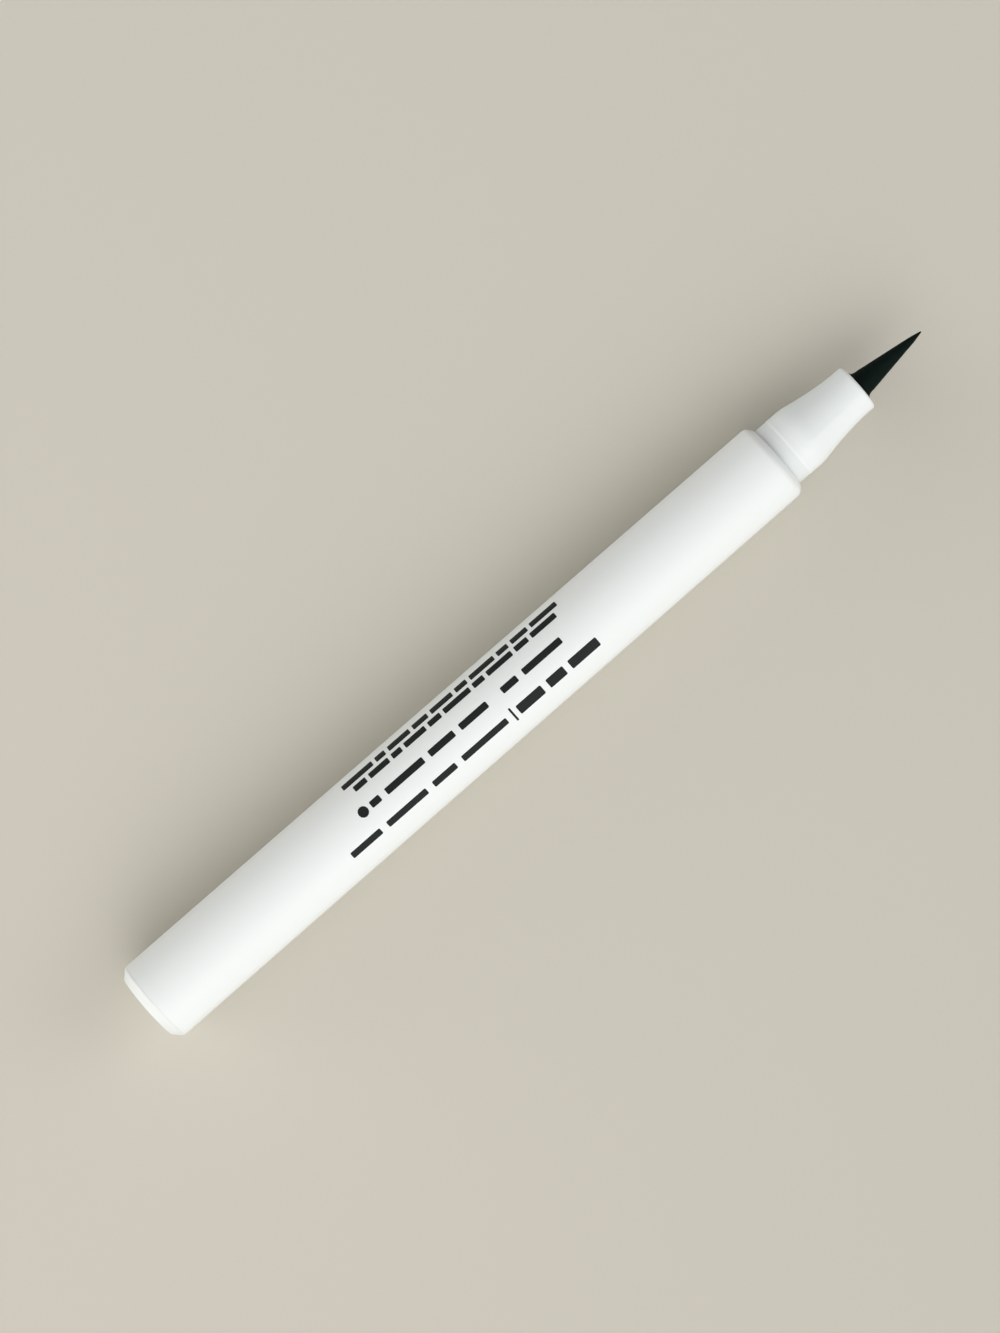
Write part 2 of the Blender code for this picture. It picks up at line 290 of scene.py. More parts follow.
barrelShape = {
    "length": 94.2,
    "shoulderRadius": 4.92,
    "tailRadius": 5.15,
    "boreRadius": 4.02,
    "fallLength": 0.62,       # the shoulder's slope, before it is softened
    "fallDepth": 0.76,
    "fallSoftness": 0.95,
    "rimEdge": 0.15,          # where the slope meets the flat ring
    "edge": 0.05,             # the small radius on a moulded edge
    "tailEdge": 0.012,        # where the tail plug meets it
    "grooveDepth": 0.15,
    "grooveFoot": 0.65,       # half the groove's length along the bore
    "grooveSlope": 0.25,
    "frontGroove": -4.0,
    "tailGroove": -91.23,
}
barrelFinish = {
    "white": (0.866, 0.889, 0.882),
    "shade": (0.856, 0.879, 0.870),
    "roughness": 0.42,
    "roughnessChange": 0.10,
    "grainSize": 0.16,
    "grainHeight": 0.0035,
}
satinTexture = {
    "cloudSize": (11, 7),     # broad clouds of shade, along and across the pen
    "cloudShare": 0.7,        # the rest of the shade is finer mottling
    "mottleSize": (0.9, 0.6),
    "handledSize": (5, 2.2),  # patches of slightly different gloss
}


def satinWhite(name, look):
    finish = Finish(name, {"Specular IOR Level": 0.45})
    clouds = finish.noise(*satinTexture["cloudSize"], detail=3)
    mottle = finish.noise(*satinTexture["mottleSize"], shift=3.7)
    share = satinTexture["cloudShare"]
    shade = clouds * share + mottle * (1 - share)
    finish.feed("Base Color", finish.mixed(shade, look["shade"], look["white"]))
    handled = finish.noise(*satinTexture["handledSize"], detail=4, rough=0.6, shift=9.1)
    finish.feed("Roughness", finish.uneven(look, handled))
    grain = finish.noise(look["grainSize"], detail=3, rough=0.6)
    finish.relief(grain * look["grainHeight"])
    return finish


# The groove of the bore that a bead snaps into, from rear to front
def snapGroove(centre, shape):
    foot, slope = shape["grooveFoot"], shape["grooveSlope"]
    inner = shape["boreRadius"]
    bottom = inner + shape["grooveDepth"]
    return [
        (centre - foot, inner, 0),
        (centre - foot + slope, bottom, 0),
        (centre + foot - slope, bottom, 0),
        (centre + foot, inner, 0),
    ]


def makeBarrel(shape, look):
    rear = -shape["length"]
    rim = shape["shoulderRadius"] - shape["fallDepth"]
    corners = [
        (rear, shape["boreRadius"], 0),
        *snapGroove(shape["tailGroove"], shape),
        *snapGroove(shape["frontGroove"], shape),
        (0, shape["boreRadius"], shape["edge"]),
        (0, rim, shape["rimEdge"]),
        (-shape["fallLength"], shape["shoulderRadius"], shape["fallSoftness"]),
        (rear, shape["tailRadius"], shape["tailEdge"]),
    ]
    addTurned("barrelTube", corners, satinWhite("barrelWhite", look), "barrel")


makeBarrel(barrelShape, barrelFinish)


printShape = {
    "proud": 0.012,           # how thick the ink lies on the barrel
    "sunk": 0.03,             # how far a bar reaches into it, so that no gap shows
    # each row: its middle angle, its bars' height and corner radius, and their ends along the pen
    "rows": [
        (27.3, 1.26, 0.16, [(-33.4, -29.2), (-36.7, -34.2), (-41.2, -37.5)]),
        (27.3, 0.82, 0.14, [(-49.6, -42.9), (-54.0, -50.6), (-60.9, -55.0), (-66.3, -61.9)]),
        (27.3, 1.95, 0.08, [(-42.06, -41.80)]),
        (-7.0, 0.82, 0.14, [
            (-38.0, -32.3), (-41.2, -38.9), (-47.5, -43.4),
            (-52.1, -48.4), (-58.6, -53.0), (-60.9, -59.5),
        ]),
        (-7.0, 1.32, 0.66, [(-62.7, -61.38)]),
        (-39.2, 0.82, 0.12, [
            (-34.6, -30.9), (-37.0, -35.1), (-41.2, -37.5), (-43.3, -41.7), (-47.7, -43.8),
            (-50.0, -48.2), (-53.6, -50.5), (-55.5, -54.1), (-58.9, -56.0), (-61.2, -59.4),
        ]),
        (-55.2, 0.96, 0.12, [
            (-33.9, -30.0), (-36.8, -34.4), (-38.9, -37.3), (-43.0, -39.4), (-45.2, -43.5),
            (-48.9, -45.7), (-51.6, -49.4), (-55.3, -52.1), (-57.2, -55.8), (-62.2, -57.7),
        ]),
    ],
}
printFinish = {
    "ink": (0.008, 0.011, 0.011),
    "thin": (0.020, 0.024, 0.023),
    "coverSize": (0.5, 0.35),
    "roughness": 0.46,
    "roughnessChange": 0.2,
    "grainSize": 0.08,
    "grainHeight": 0.002,
}


def printInk(name, look):
    finish = Finish(name, {"Specular IOR Level": 0.15})
    cover = finish.noise(*look["coverSize"], detail=4, rough=0.65)
    finish.feed("Base Color", finish.mixed(cover, look["ink"], look["thin"]))
    finish.feed("Roughness", finish.uneven(look, cover))
    finish.relief(finish.noise(look["grainSize"], shift=2.0) * look["grainHeight"])
    return finish


# Plain bars that follow the barrel. A bar is cut into levels across its height: at height y from its
# middle its half length is L/2 - c + sqrt(c^2 - d^2), where c is the corner radius and d is how far y
# goes into the corner. A point at (x, y) lies at the angle (row angle + y / R) on the radius R that
# the barrel has at x, once just above the surface and once just below.
def makePrint(shape, look, barrel):
    bars = np.array([
        (start, end, np.radians(angle), height / 2, corner)
        for angle, height, corner, ends in shape["rows"] for start, end in ends
    ])
    start, end, angle, half, corner = bars.T[:, :, None]
    cornerTurn = np.radians([0, 30, 60, 90])
    straight = np.array([-0.5, 0, 0.5])  # levels between the corners: shares of half that height
    bend = np.concatenate([-np.cos(cornerTurn), 0 * straight, np.cos(cornerTurn[::-1])])
    flat = np.concatenate([0 * cornerTurn - 1, straight, 0 * cornerTurn + 1])
    y = flat * (half - corner) + bend * corner
    reach = (end - start) / 2 - corner + np.sqrt(np.maximum(corner**2 - (bend * corner)**2, 0))
    side = np.array([-1, 1])[None, None, :, None]
    x = (start + end)[..., None, None] / 2 + side * reach[:, :, None, None]
    taper = (barrel["tailRadius"] - barrel["shoulderRadius"]) / (barrel["length"] - barrel["fallLength"])
    surface = barrel["shoulderRadius"] - (x + barrel["fallLength"]) * taper
    level = np.array([shape["proud"], -shape["sunk"]])[None, None, None, :]
    around = angle[..., None, None] + (y / barrel["shoulderRadius"])[..., None, None]
    r = surface + level
    points = np.stack(np.broadcast_arrays(x, -r * np.sin(around), r * np.cos(around)), -1)
    count, levels = points.shape[:2]
    index = np.arange(count * levels * 4).reshape(count, levels, 2, 2)
    left, right = index[:, :, 0], index[:, :, 1]
    top = np.stack([left[:, :-1, 0], right[:, :-1, 0], right[:, 1:, 0], left[:, 1:, 0]], -1)
    under = np.stack([left[:, :-1, 1], left[:, 1:, 1], right[:, 1:, 1], right[:, :-1, 1]], -1)
    leftWall = np.stack([left[:, :-1, 0], left[:, 1:, 0], left[:, 1:, 1], left[:, :-1, 1]], -1)
    rightWall = np.stack([right[:, :-1, 0], right[:, :-1, 1], right[:, 1:, 1], right[:, 1:, 0]], -1)
    lowEnd = np.stack([left[:, 0, 0], left[:, 0, 1], right[:, 0, 1], right[:, 0, 0]], -1)
    highEnd = np.stack([left[:, -1, 0], right[:, -1, 0], right[:, -1, 1], left[:, -1, 1]], -1)
    sides = (top, under, leftWall, rightWall, lowEnd, highEnd)
    faces = np.vstack([side.reshape(-1, 4) for side in sides])[:, ::-1]
    addPiece("printBars", welded(points.reshape(-1, 3), faces), printInk("printInk", look))


makePrint(printShape, printFinish, barrelShape)


tailPlugShape = {
    "face": -95.4,
    "flangeFront": -94.205,
    "radius": 5.15,
    "chamfer": 0.95,
    "chamferSoftness": 0.55,
    "faceEdge": 0.12,
    "seamEdge": 0.012,
    "shankRadius": 3.92,
    "shankFront": -88.23,
    "beadPlace": -91.23,
    "cupRadius": 2.92,
    "cupBottom": -93.73,
    "cupFillet": 0.3,
    "edge": 0.05,
}
# The plug's white is set darker than the barrel's: painted shade that keeps its brightly lit chamfer
# from clipping.
tailPlugFinish = {
    "white": (0.795, 0.812, 0.800),
    "shade": (0.783, 0.800, 0.788),
    "roughness": 0.36,
    "roughnessChange": 0.08,
    "grainSize": 0.2,
    "grainHeight": 0.003,
}
beadShape = {"foot": 0.5, "top": 0.25, "height": 0.15, "edge": 0.05}


# The bead that snaps into a groove of the bore, from rear to front: "foot" and "top" are half its length
# at its foot and at its top.
def snapBead(centre, radius):
    foot, top, edge = beadShape["foot"], beadShape["top"], beadShape["edge"]
    high = radius + beadShape["height"]
    return [
        (centre - foot, radius, 0), (centre - top, high, edge),
        (centre + top, high, edge), (centre + foot, radius, 0),
    ]


def makeTailPlug(shape, look):
    edge = shape["edge"]
    corners = [
        (shape["face"], 0, 0),
        (shape["face"], shape["radius"] - shape["chamfer"], shape["faceEdge"]),
        (shape["face"] + shape["chamfer"], shape["radius"], shape["chamferSoftness"]),
        (shape["flangeFront"], shape["radius"], shape["seamEdge"]),
        (shape["flangeFront"], shape["shankRadius"], 0),
        *snapBead(shape["beadPlace"], shape["shankRadius"]),
        (shape["shankFront"], shape["shankRadius"], edge),
        (shape["shankFront"], shape["cupRadius"], edge),
        (shape["cupBottom"], shape["cupRadius"], shape["cupFillet"]),
        (shape["cupBottom"], 0, 0),
    ]
    addTurned("tailPlug", corners, satinWhite("plugWhite", look), "tail_plug")


makeTailPlug(tailPlugShape, tailPlugFinish)


frontShape = {
    "spigotRear": -13.0,
    "spigotRadius": 3.25,
    "step": -8.0,
    "shankRadius": 3.92,
    "beadPlace": -4.0,
    "bandStart": -0.02,
    "bandDepth": 0.03,        # the band behind the click ring
    "ringPlace": 1.54,        # the click ring's rear edge
    "ringHeight": 0.02,       # over the land ahead of it
    "ringRise": 0.32,
    "ringFall": 0.55,
    "ringFillets": (0.6, 0.8, 3.0),    # at its foot, at its top and where it runs out
    "landEnd": 4.0,
    "neckFade": 1.8,          # the length over which the land runs into the neck
    "neckEnd": 11.4,
    "neckPower": 1.75,
    "mouth": 12.4,
    "mouthRadius": 2.99,
    "mouthFillet": 0.36,
    "mouthHole": 1.94,
    "holeEdge": 0.06,
    "lip": 9.8,
    "boreRadius": 2.3,
    "spigotEdge": 0.1,
    "edge": 0.05,
}
frontFinish = {
    "white": (0.855, 0.886, 0.884),
    "shade": (0.838, 0.870, 0.870),
    "cloudSize": (6, 3),
    "roughness": 0.33,
    "roughnessChange": 0.08,
    "handledSize": (2.5, 1.2),
    "grainSize": 0.12,
    "grainHeight": 0.0016,
    "shoulderShadeBand": (0.795, 0.826, 0.824),   # the band at the shoulder's foot that the cap's rim rubs, darkened with painted shade from the shoulder
    "shoulderShadeTo": 1.72,
    "shoulderShadeFade": 0.08,
    "rubbedRoughness": 0.12,
    "partingAngle": 18.0,     # the mould's parting line, on both sides of the neck
    "partingWidths": (0.45, 0.26),
    "partingHeight": 0.032,
    "partingStart": 3.8,
    "partingEnd": 10.2,
    "partingFades": (0.8, 2.5),        # the lengths over which it fades in and out
}


# The neck: its slope goes as what is left of its length to the power neckPower - 1, and grows in along
# s^2 (3 - 2s) where the land ends. Its radius falls by the running sum of that slope.
def neckPoints(shape, count=40):
    start = shape["landEnd"] - shape["neckFade"] / 2
    x = np.linspace(start, shape["neckEnd"], count + 1)
    left = (shape["neckEnd"] - x) / (shape["neckEnd"] - shape["landEnd"])
    grown = np.clip((x - start) / shape["neckFade"], 0, 1)
    slope = left ** (shape["neckPower"] - 1) * grown**2 * (3 - 2 * grown)
    fall = np.append(0, np.cumsum(slope[1:] + slope[:-1]))
    r = shape["shankRadius"] - (shape["shankRadius"] - shape["mouthRadius"]) * fall / fall[-1]
    return np.stack([x, r, 0 * x], -1).tolist()


def coolWhite(name, look):
    finish = Finish(name, {"Specular IOR Level": 0.5})
    along = distanceFrom(finish, (1, 0, 0))
    clouds = finish.noise(*look["cloudSize"], detail=3)
    clean = finish.mixed(clouds, look["shade"], look["white"])
    # The band just ahead of the shoulder gets a darker colour, painted shade from the shoulder, and a
    # rougher gloss.
    shoulderShadeBand = finish.clamped((look["shoulderShadeTo"] - along) / look["shoulderShadeFade"])
    finish.feed("Base Color", finish.mixed(shoulderShadeBand, clean, look["shoulderShadeBand"]))
    handled = finish.noise(*look["handledSize"], detail=4, rough=0.6, shift=5.3)
    finish.feed("Roughness", finish.uneven(look, handled) + shoulderShadeBand * look["rubbedRoughness"])
    grain = finish.noise(look["grainSize"], detail=3, rough=0.6)
    finish.relief(grain * look["grainHeight"] + partingLine(finish, look, along) * look["partingHeight"])
    return finish


# How far the surface lies from the middle of the shoulder's plane, in millimetres along a direction
def distanceFrom(finish, direction):
    offset = finish.add(
        "ShaderNodeVectorMath", {"operation": "SUBTRACT"},
        {0: finish.place, 1: (shoulderX * mm, 0, axisHeight * mm)}, output="Vector",
    )
    return finish.add(
        "ShaderNodeVectorMath", {"operation": "DOT_PRODUCT"}, {0: offset, 1: direction}, output="Value"
    ) / mm


# A ridge from 0 to 1 where a plane through the pen's axis cuts the surface: it falls off evenly with
# the distance from that plane, over one width on each side, and it fades in and out along the pen.
def partingLine(finish, look, along):
    turn = np.radians(look["partingAngle"])
    across = distanceFrom(finish, (0, float(np.cos(turn)), float(np.sin(turn))))
    gentle, steep = look["partingWidths"]
    sides = {0: across / gentle, 1: across / -steep}
    ridge = finish.clamped(1 - finish.add("ShaderNodeMath", {"operation": "MAXIMUM"}, sides))
    fadeIn, fadeOut = look["partingFades"]
    start = finish.clamped((along - look["partingStart"]) / fadeIn)
    end = finish.clamped((look["partingEnd"] - along) / fadeOut)
    return ridge * start * end


def makeFrontSection(shape, look):
    band = shape["shankRadius"] - shape["bandDepth"]
    ringTop = shape["ringPlace"] + shape["ringRise"]
    foot, top, runOut = shape["ringFillets"]
    corners = [
        (shape["step"], shape["spigotRadius"], 0),
        (shape["step"], shape["shankRadius"], shape["edge"]),
        *snapBead(shape["beadPlace"], shape["shankRadius"]),
        (shape["bandStart"], shape["shankRadius"], 0),
        (shape["bandStart"], band, 0),
        (shape["ringPlace"], band, foot),
        (ringTop, shape["shankRadius"] + shape["ringHeight"], top),
        (ringTop + shape["ringFall"], shape["shankRadius"], runOut),
        *neckPoints(shape),
        (shape["mouth"], shape["mouthRadius"], shape["mouthFillet"]),
        (shape["mouth"], shape["mouthHole"], shape["holeEdge"]),
        (shape["lip"], shape["mouthHole"], 0),
        (shape["lip"], shape["boreRadius"], 0),
        (shape["spigotRear"], shape["boreRadius"], shape["edge"]),
        (shape["spigotRear"], shape["spigotRadius"], shape["spigotEdge"]),
    ]
    addTurned("frontSection", corners, coolWhite("frontWhite", look), "front_section")


makeFrontSection(frontShape, frontFinish)


nibShape = {
    "mouth": 12.4,
    "point": 22.0,
    "tipPlace": 20.7,         # from here the cone rounds off to its point
    "tipRadius": 0.36,
    "tipSoftness": 6.0,
    "pointPlace": 21.9,
    "pointRadius": 0.085,
    "pointSoftness": 0.1,
    "rootRadius": 1.84,
    "flarePlace": 0.2,        # ahead of the mouth
    "neckPlace": 1.15,
    "neckRadius": 1.44,
    "collarFront": 9.7,
    "collarRear": 8.5,
    "collarRadius": 2.2,
    "collarEdge": 0.08,
    "shankRadius": 1.5,
    "shankRear": 3.5,
    "shankEdge": 0.1,
    "socketRadius": 0.9,
    "socketBottom": 6.0,
}
nibFinish = {
    "black": (0.0020, 0.0064, 0.0050),
    "lighter": (0.0056, 0.0116, 0.0096),
    "darkTo": 0.3,            # strands under this height are quite black
    "contrast": 2.5,
    "roughness": 0.60,
    "roughnessChange": 0.3,
    "strandLength": 2.4,
    "strandWidth": 0.07,
    "strandHeight": 0.02,
}


# The root sweeps in as a quarter of an ellipse, from the mouth to the foot of the cone.
def flarePoints(shape, count=12):
    turn = np.linspace(0, np.pi / 2, count + 1)
    x = shape["neckPlace"] - (shape["neckPlace"] - shape["flarePlace"]) * np.cos(turn)
    r = shape["rootRadius"] - (shape["rootRadius"] - shape["neckRadius"]) * np.sin(turn)
    return np.stack([shape["mouth"] + x, r, 0 * x], -1).tolist()


# Lengthwise strands in a finish's gloss and relief. Gives back their pattern.
def addStrands(finish, look):
    strands = finish.noise(look["strandLength"], look["strandWidth"], detail=3, rough=0.6)
    finish.feed("Roughness", finish.uneven(look, strands))
    finish.relief(strands * look["strandHeight"])
    return strands


def fibreBlack(name, look):
    finish = Finish(name, {"Specular IOR Level": 0.05})
    lit = finish.clamped((addStrands(finish, look) - look["darkTo"]) * look["contrast"])
    finish.feed("Base Color", finish.mixed(lit, look["black"], look["lighter"]))
    return finish


def makeNib(shape, look):
    corners = [
        (shape["socketBottom"], 0, 0),
        (shape["socketBottom"], shape["socketRadius"], 0),
        (shape["shankRear"], shape["socketRadius"], 0),
        (shape["shankRear"], shape["shankRadius"], shape["shankEdge"]),
        (shape["collarRear"], shape["shankRadius"], 0),
        (shape["collarRear"], shape["collarRadius"], shape["collarEdge"]),
        (shape["collarFront"], shape["collarRadius"], shape["collarEdge"]),
        (shape["collarFront"], shape["rootRadius"], 0),
        *flarePoints(shape),
        (shape["tipPlace"], shape["tipRadius"], shape["tipSoftness"]),
        (shape["pointPlace"], shape["pointRadius"], shape["pointSoftness"]),
        (shape["point"], 0, 0),
    ]
    addTurned("nibCone", corners, fibreBlack("nibFibre", look), "nib")


makeNib(nibShape, nibFinish)


# Carries an outline round the pen's axis as turned() does, but with straight notches down its outside.
# Each notch has flat walls at plus and minus half its width w, and a flat floor. Where the outline's
# radius r is past the floor, a notch's columns are the floor's middle, the walls' feet, and the walls'
# tops at sqrt(r^2 - w^2). Inside the floor they are all points of the circle: the middle, the feet at
# "feet" times w, and the tops at "tops" times the angle of w. The columns between notches spread evenly.
def notched(outline, floorRadius, halfWidth, notches, columns, feet=0.8, tops=1.15):
    x, r = facingOut(outline).T
    past = r > floorRadius
    edgeAngle = np.arcsin(halfWidth / r) * np.where(past, 1, tops)
    spread = edgeAngle[:, None] + (np.pi / notches - edgeAngle[:, None]) * np.linspace(0, 1, columns)
    ringY, ringZ = r[:, None] * np.sin(spread), r[:, None] * np.cos(spread)
    footY = np.where(past, halfWidth, feet * halfWidth)
    footZ = np.where(past, floorRadius, np.sqrt(r**2 - footY**2))
    middleZ = np.where(past, floorRadius, r)
    halfY = np.column_stack([footY, ringY])
    halfZ = np.column_stack([footZ, ringZ])
    sectorY = np.column_stack([-halfY[:, -2::-1], 0 * r, halfY])
    sectorZ = np.column_stack([halfZ[:, -2::-1], middleZ, halfZ])
    turn = np.arange(notches) * 2 * np.pi / notches
    cosine, sine = np.cos(turn)[:, None], np.sin(turn)[:, None]
    y = (sectorY[:, None] * cosine + sectorZ[:, None] * sine).reshape(len(r), -1)
    z = (sectorZ[:, None] * cosine - sectorY[:, None] * sine).reshape(len(r), -1)
    grid = np.stack(np.broadcast_arrays(x[:, None], y, z), -1)
    index = np.arange(y.size).reshape(y.shape)
    return welded(grid.reshape(-1, 3), strips(np.vstack([index, index[:1]])))


nibHolderShape = {
    "rear": -5.0,
    "front": 8.4,
    "radius": 2.2,
    "feedHole": 0.9,
    "shankHole": 1.6,
    "shankStop": 3.4,
    "vents": 3,
    "ventWidth": 0.6,
    "ventFloor": 1.9,
    "edge": 0.06,
}
collectorShape = {
    "rear": -35.1,
    "front": -13.1,
    "noseFront": -5.1,
    "noseRadius": 2.2,
    "feedHole": 0.9,
    "coreRadius": 1.6,
    "finRadius": 3.2,
    "finThickness": 0.6,
    "finPitch": 1.5,
    "draft": 0.02,            # how far the last fin's front leans
    "slotWidth": 0.7,
    "slotFloor": 1.85,
    "edge": 0.05,
}
partitionShape = {"rear": -37.7, "front": -35.2, "feedHole": 0.9, "radius": 3.25, "edge": 0.12}
mouldingFinish = {
    "white": (0.80, 0.81, 0.79),
    "shade": (0.76, 0.77, 0.75),
    "roughness": 0.40,
    "roughnessChange": 0.12,
    "grainSize": 0.10,
    "grainHeight": 0.0015,
}


def makeNibHolder(shape, look):
    edge = shape["edge"]
    corners = [
        (shape["rear"], shape["feedHole"], edge),
        (shape["rear"], shape["radius"], edge),
        (shape["front"], shape["radius"], edge),
        (shape["front"], shape["shankHole"], edge),
        (shape["shankStop"], shape["shankHole"], 0),
        (shape["shankStop"], shape["feedHole"], edge),
    ]
    outline = withSpareRings(rounded(corners, steps=4), endFaces=False)
    grid = notched(outline, shape["ventFloor"], shape["ventWidth"] / 2, shape["vents"], columns=22)
    addPiece("nibHolder", grid, satinWhite("holderWhite", look), "nib_holder")


# The comb: fins one pitch apart on a hollow core, the last of them at the foot of the nose
def makeCollector(shape, look):
    edge = shape["edge"]
    corners = [(shape["rear"], shape["feedHole"], edge)]
    starts = [*np.arange(shape["rear"], shape["front"] - shape["finPitch"], shape["finPitch"])]
    for start in [*starts, shape["front"] - shape["finThickness"]]:
        fin = [
            (start, shape["coreRadius"], 0),
            (start, shape["finRadius"], edge),
            (start + shape["finThickness"], shape["finRadius"], edge),
            (start + shape["finThickness"], shape["coreRadius"], 0),
        ]
        corners += fin[1:] if start == starts[0] else fin     # the first fin is also the rear face
    corners[-1] = (shape["front"] + shape["draft"], shape["noseRadius"], 0)    # the last meets the nose
    corners += [
        (shape["noseFront"], shape["noseRadius"], edge),
        (shape["noseFront"], shape["feedHole"], edge),
    ]
    outline = rounded(corners, steps=2)
    grid = notched(outline, shape["slotFloor"], shape["slotWidth"] / 2, notches=1, columns=64)
    addPiece("collectorComb", grid, satinWhite("collectorWhite", look), "collector")


def makePartition(shape, look):
    corners = ringCorners(shape, shape["feedHole"])
    finish = satinWhite("partitionWhite", look)
    addTurned("tankPartition", corners, finish, "tank_partition", segments=128)


makeNibHolder(nibHolderShape, mouldingFinish)
makeCollector(collectorShape, mouldingFinish)
makePartition(partitionShape, mouldingFinish)


gasketShape = {"rear": -8.6, "front": -8.1, "innerRadius": 3.35, "radius": 3.85, "edge": 0.14}
gasketFinish = {
    "black": (0.022, 0.022, 0.023),
    "bloom": (0.060, 0.060, 0.062),
    "bloomSize": 0.8,
    "roughness": 0.72,
    "roughnessChange": 0.25,
    "grainSize": 0.06,
    "grainHeight": 0.004,
}


def softRubber(name, look):
    finish = Finish(name, {"Specular IOR Level": 0.35})
    bloom = finish.noise(look["bloomSize"], detail=5, rough=0.7)
    finish.feed("Base Color", finish.mixed(bloom, look["black"], look["bloom"]))
    finish.feed("Roughness", finish.uneven(look, bloom))
    finish.relief(finish.noise(look["grainSize"], detail=3) * look["grainHeight"])
    return finish


def makeGasket(shape, look):
    corners = ringCorners(shape, shape["innerRadius"])
    addTurned("tankGasket", corners, softRubber("gasketRubber", look), "tank_gasket", segments=128)


makeGasket(gasketShape, gasketFinish)


feedRodShape = {
    "rear": -37.4,
    "front": 5.9,
    "radius": 0.8,
    "chamfer": 0.15,
    "endEdge": 0.03,
    "sideEdge": 0.05,
}
feedRodFinish = {
    "dry": (0.060, 0.056, 0.052),
    "soaked": (0.006, 0.007, 0.008),
    "patchSize": (4.0, 2.0),
    "contrast": 1.6,
    "roughness": 0.8,
    "roughnessChange": 0.3,
    "strandLength": 3.0,
    "strandWidth": 0.05,
    "strandHeight": 0.02,
}


def bondedFibre(name, look):
    finish = Finish(name, {"Specular IOR Level": 0.2})
    patches = finish.noise(*look["patchSize"], shift=6.0)
    dry = finish.clamped(addStrands(finish, look) * patches * look["contrast"])
    finish.feed("Base Color", finish.mixed(dry, look["soaked"], look["dry"]))
    return finish


def makeFeedRod(shape, look):
    cut, radius = shape["chamfer"], shape["radius"]
    corners = [
        (shape["rear"], 0, 0),
        (shape["rear"], radius - cut, shape["endEdge"]),
        (shape["rear"] + cut, radius, shape["sideEdge"]),
        (shape["front"] - cut, radius, shape["sideEdge"]),
        (shape["front"], radius - cut, shape["endEdge"]),
        (shape["front"], 0, 0),
    ]
    finish = bondedFibre("feedFibre", look)
    addTurned("feedRod", corners, finish, "feed_rod", segments=64, steps=4, spare=20)


makeFeedRod(feedRodShape, feedRodFinish)


inkTankShape = {
    "rear": -88.13,
    "front": -8.7,
    "radius": 3.9,
    "rimBore": 3.35,
    "chamberFront": -37.8,
    "chamberRear": -87.23,
    "chamberRadius": 3.15,
    "fillet": 0.5,
    "edge": 0.08,
}
inkTankFinish = {
    "milky": (0.79, 0.80, 0.76),
    "greyer": (0.75, 0.76, 0.72),
    "flowSize": (16, 1.4),    # the streaks of the plastic's flow, along and across the pen
    "flowShare": 0.6,
    "hazeSize": 2.2,
    "roughness": 0.28,
    "roughnessChange": 0.12,
    "grainSize": 0.25,
    "grainHeight": 0.002,
}


def milkyPlastic(name, look):
    finish = Finish(name, {"Specular IOR Level": 0.5})
    flow = finish.noise(*look["flowSize"], detail=3, rough=0.55)
    haze = finish.noise(look["hazeSize"], rough=0.4, shift=4.0)
    milk = flow * look["flowShare"] + haze * (1 - look["flowShare"])
    finish.feed("Base Color", finish.mixed(milk, look["greyer"], look["milky"]))
    finish.feed("Roughness", finish.uneven(look, haze))
    finish.relief(finish.noise(look["grainSize"]) * look["grainHeight"])
    return finish


def makeInkTank(shape, look):
    edge = shape["edge"]
    corners = [
        (shape["rear"], 0, 0),
        (shape["rear"], shape["radius"], shape["fillet"]),
        (shape["front"], shape["radius"], edge),
        (shape["front"], shape["rimBore"], edge),
        (shape["chamberFront"], shape["rimBore"], 0),
        (shape["chamberFront"], shape["chamberRadius"], edge),
        (shape["chamberRear"], shape["chamberRadius"], shape["fillet"]),
        (shape["chamberRear"], 0, 0),
    ]
    addTurned("inkTank", corners, milkyPlastic("tankMilky", look), "ink_tank", segments=144)


makeInkTank(inkTankShape, inkTankFinish)


ballShape = {"place": -39.4, "drop": 1.55, "radius": 1.5, "rings": 48, "segments": 96}
ballFinish = {
    "steel": (0.62, 0.61, 0.60),
    "dull": (0.48, 0.47, 0.46),
    "wearSize": 0.9,
    "roughness": 0.14,
    "roughnessChange": 0.1,
    "scratchSize": (0.6, 0.02),
    "scratchRoughness": 0.08,
    "scratchHeight": 0.0015,
}


def polishedSteel(name, look):
    finish = Finish(name, {"Metallic": 1.0})
    wear = finish.noise(look["wearSize"], detail=4, rough=0.6)
    scratches = finish.noise(*look["scratchSize"], detail=3, rough=0.7, shift=1.3)
    finish.feed("Base Color", finish.mixed(wear, look["dull"], look["steel"]))
    finish.feed("Roughness", finish.uneven(look, wear) + (scratches - 0.5) * look["scratchRoughness"])
    finish.relief(scratches * look["scratchHeight"])
    return finish


# A sphere as a turned half circle: (x, r) = (-R cos t, R sin t) for t from 0 to 180 degrees. It lies on
# the tank's wall, with its middle lower than the pen's axis by the drop.
def makeBall(shape, look):
    t = np.linspace(0, np.pi, shape["rings"] + 1)
    half = np.column_stack([-np.cos(t), np.sin(t)]) * shape["radius"]
    half[[0, -1], 1] = 0
    vertices, faces = turned(half, shape["segments"])
    vertices = vertices + (shape["place"], 0, -shape["drop"])
    finish = polishedSteel("ballSteel", look)
    addPiece("mixingBall", (vertices, faces), finish, "mixing_ball", body="ball")


makeBall(ballShape, ballFinish)


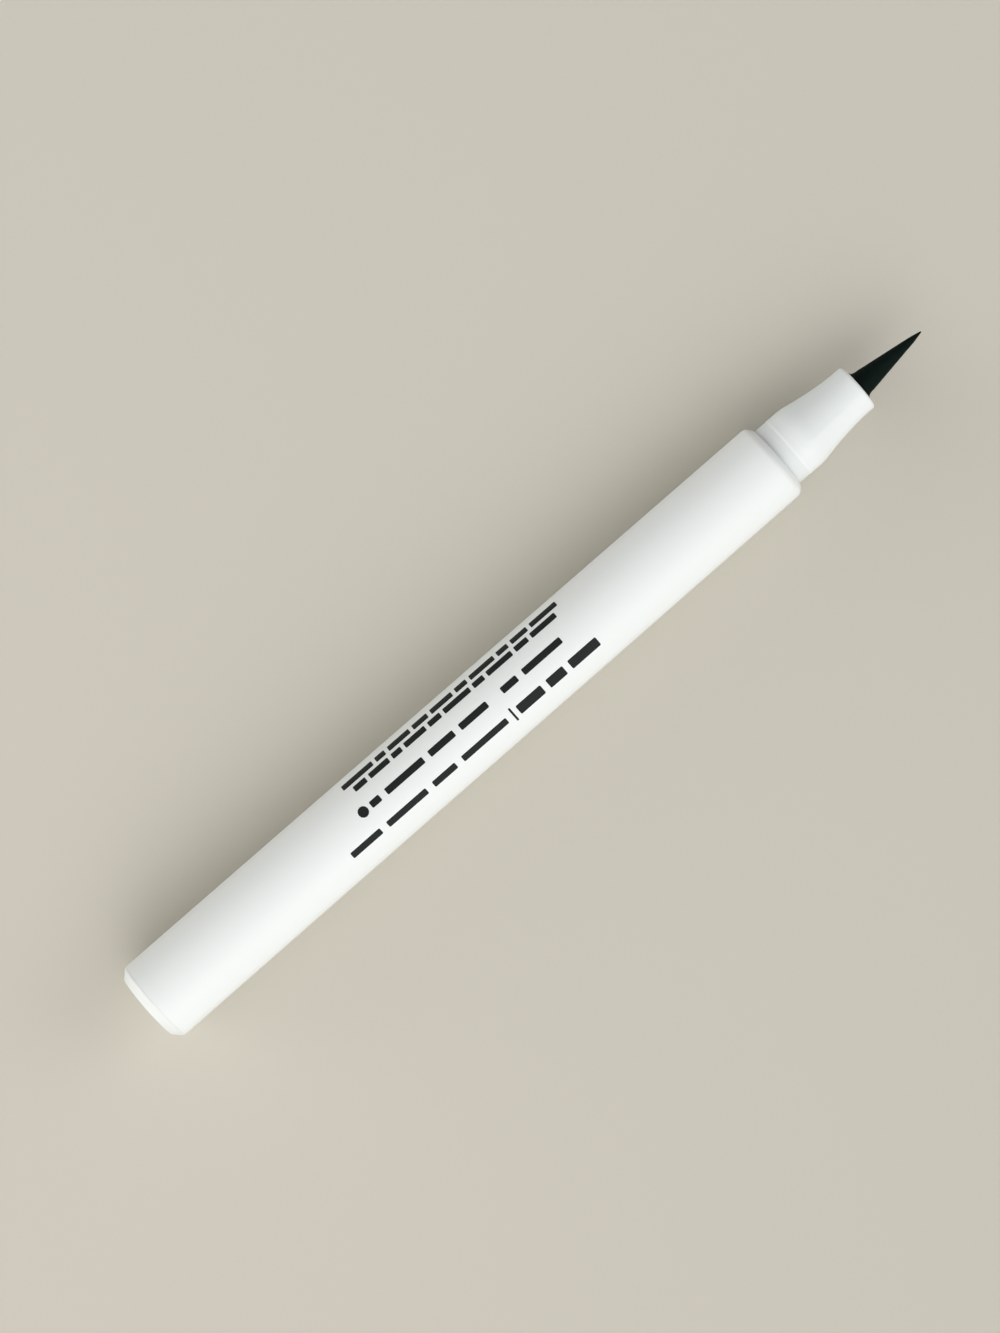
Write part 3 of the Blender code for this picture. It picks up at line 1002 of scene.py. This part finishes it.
floorLook = {
    "size": 12000,
    "colour": (0.616, 0.586, 0.510),
}
lightLook = {
    "even": 0.10,             # an even sky
    "panelSharpness": 10,
    # the middle of each soft panel, turned from the pen's right side towards its tail, and its height,
    # both in degrees, then its strength
    "panels": {
        "rightRear": (45, 35, 2.80),
        "right": (0, 35, 1.09),
        "rightFront": (-60, 26, 2.58),
        "tail": (90, 35, 0.50),
        "leftRearLow": (135, 10, 3.56),
        "leftHigh": (180, 60, 0.28),
    },
    # a round lamp nearer by, so that the tail is a little lighter than the nib
    "lampPlace": (95, 42),
    "lampDistance": 360,
    "lampRadius": 130,
    "lampWatts": 0.16,
    "lampColour": (1, 0.97, 0.86),
}
cameraLook = {
    "place": (-2.81, 2.84, 615),
    "turn": -41.15,
    "lens": 144,
    "sensorWidth": 36,
    "clip": (10, 20000),
}


def makeFloor(look):
    half = look["size"] / 2 * mm
    finish = Finish("floorPale", {"Roughness": 0.9, "Specular IOR Level": 0.2})
    finish.feed("Base Color", (*look["colour"], 1.0))
    mesh = bpy.data.meshes.new("floor")
    corners = [(-half, -half, 0), (half, -half, 0), (half, half, 0), (-half, half, 0)]
    mesh.from_pydata(corners, [], [(0, 1, 2, 3)])
    mesh.materials.append(finish.material)
    floor = bpy.data.objects.new("floor", mesh)
    bpy.context.scene.collection.objects.link(floor)


# The direction that a turn and a height in degrees point in, both counted as the panels' are
def directionOf(turn, height):
    turn, height = np.radians((turn, height))
    return np.array([-np.sin(turn) * np.cos(height), -np.cos(turn) * np.cos(height), np.sin(height)])


# A world of soft panels: each adds its strength times the cosine of the angle from its middle, to the
# power of their sharpness. One round lamp stands among them.
def makeLight(look):
    world = bpy.data.worlds.new("softDome")
    world.use_nodes = True
    bpy.context.scene.world = world
    nodes = NodeTree(world.node_tree)
    direction = nodes.add("ShaderNodeTexCoord", output="Generated")
    strength = look["even"]
    for turn, height, power in look["panels"].values():
        facing = nodes.add(
            "ShaderNodeVectorMath", {"operation": "DOT_PRODUCT"},
            {0: direction, 1: directionOf(turn, height).tolist()}, output="Value",
        )
        ahead = nodes.add("ShaderNodeMath", {"operation": "MAXIMUM"}, {0: facing, 1: 0.0})
        strength = strength + power * ahead ** look["panelSharpness"]
    background = world.node_tree.nodes["Background"]
    background.inputs["Color"].default_value = (1, 1, 1, 1)
    nodes.put(background.inputs["Strength"], strength)

    data = bpy.data.lights.new("tailLamp", "AREA")
    data.shape = "DISK"
    data.size = 2 * look["lampRadius"] * mm
    data.energy = look["lampWatts"]
    data.color = look["lampColour"]
    lamp = bpy.data.objects.new("tailLamp", data)
    lamp.location = directionOf(*look["lampPlace"]) * look["lampDistance"] * mm
    lamp.rotation_euler = lamp.location.to_track_quat("Z", "Y").to_euler()
    lamp.visible_camera = False
    bpy.context.scene.collection.objects.link(lamp)


def makeCamera(look):
    data = bpy.data.cameras.new("above")
    data.lens = look["lens"]
    data.sensor_width = look["sensorWidth"]
    data.clip_start, data.clip_end = np.array(look["clip"]) * mm
    camera = bpy.data.objects.new("above", data)
    camera.location = np.array(look["place"]) * mm
    camera.rotation_euler = (0, 0, np.radians(look["turn"]))
    bpy.context.scene.collection.objects.link(camera)
    bpy.context.scene.camera = camera


makeFloor(floorLook)
makeLight(lightLook)
makeCamera(cameraLook)
bpy.context.scene.view_settings.view_transform = "Standard"
print("floor, light and camera in place")
